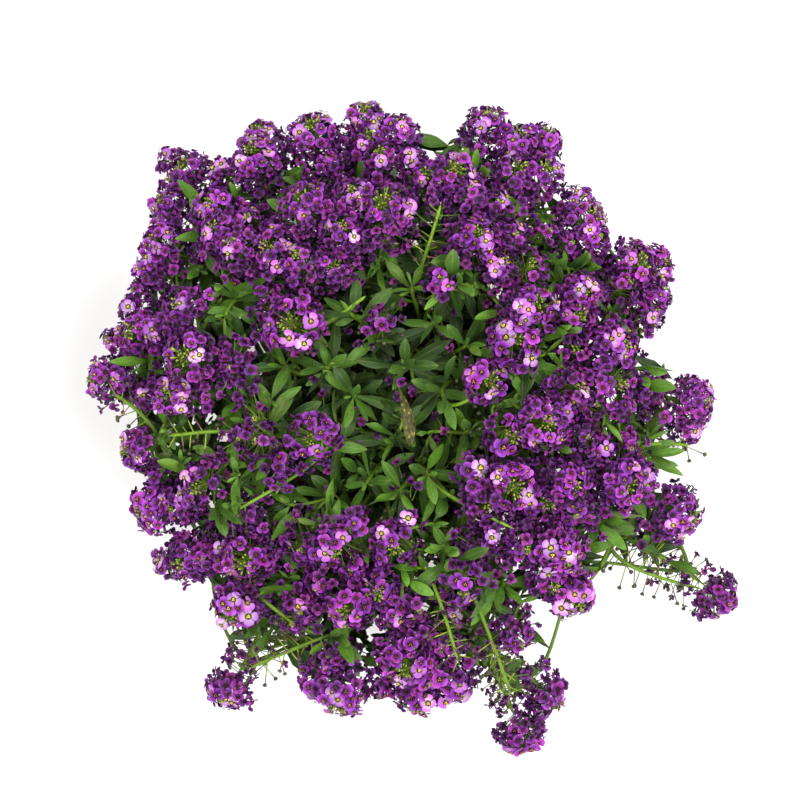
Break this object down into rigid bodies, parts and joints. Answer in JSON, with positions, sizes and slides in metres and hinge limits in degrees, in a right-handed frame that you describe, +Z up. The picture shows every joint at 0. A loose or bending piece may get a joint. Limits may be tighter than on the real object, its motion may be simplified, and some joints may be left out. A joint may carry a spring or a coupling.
{
  "type": "potted sweet alyssum",
  "caption": "Low bedding plant in a round nursery pot: a mound of violet flower heads over a green leafy middle.",
  "frame": {"origin": "middle of the pot's flat foot, on the surface it stands on", "axes": "+Z up along the pot's axis, +Y towards the far side of the plan and +X to its right"},
  "size_m": [0.2421, 0.2425, 0.1561],
  "materials": {
    "pot_plastic": "matte",
    "potting_mix": "crumbly",
    "crown_bark": "rough",
    "foliage": "soft, finely haired",
    "florets": "soft matte"
  },
  "bodies": {
    "root": {"pot": "pot_plastic", "root_ball": "potting_mix", "crown": "crown_bark", "spray_01": "foliage", "spray_02": "foliage", "spray_03": "foliage", "spray_04": "foliage", "spray_05": "foliage", "spray_06": "foliage", "spray_07": "foliage", "spray_08": "foliage", "spray_09": "foliage", "spray_10": "foliage", "spray_11": "foliage", "spray_12": "foliage", "flower_bunch_01": "florets", "flower_bunch_02": "florets", "flower_bunch_03": "florets", "flower_bunch_04": "florets", "flower_bunch_05": "florets", "flower_bunch_06": "florets", "flower_bunch_07": "florets", "flower_bunch_08": "florets", "flower_bunch_09": "florets", "flower_bunch_10": "florets", "flower_bunch_11": "florets", "flower_bunch_12": "florets", "flower_bunch_13": "florets", "flower_bunch_14": "florets", "flower_bunch_15": "florets", "flower_bunch_16": "florets", "flower_bunch_17": "florets", "flower_bunch_18": "florets", "flower_bunch_19": "florets", "flower_bunch_20": "florets", "flower_bunch_21": "florets", "flower_bunch_22": "florets", "flower_bunch_23": "florets", "flower_bunch_24": "florets", "flower_bunch_25": "florets", "flower_bunch_26": "florets", "flower_bunch_27": "florets", "flower_bunch_28": "florets", "flower_bunch_29": "florets", "flower_bunch_30": "florets", "flower_bunch_31": "florets", "flower_bunch_32": "florets", "flower_bunch_33": "florets", "flower_bunch_34": "florets", "flower_bunch_35": "florets", "flower_bunch_36": "florets", "flower_bunch_37": "florets", "flower_bunch_38": "florets", "flower_bunch_39": "florets", "flower_bunch_40": "florets", "flower_bunch_41": "florets", "flower_bunch_42": "florets", "flower_bunch_43": "florets", "flower_bunch_44": "florets", "flower_bunch_45": "florets"}
  },
  "joints": []
}
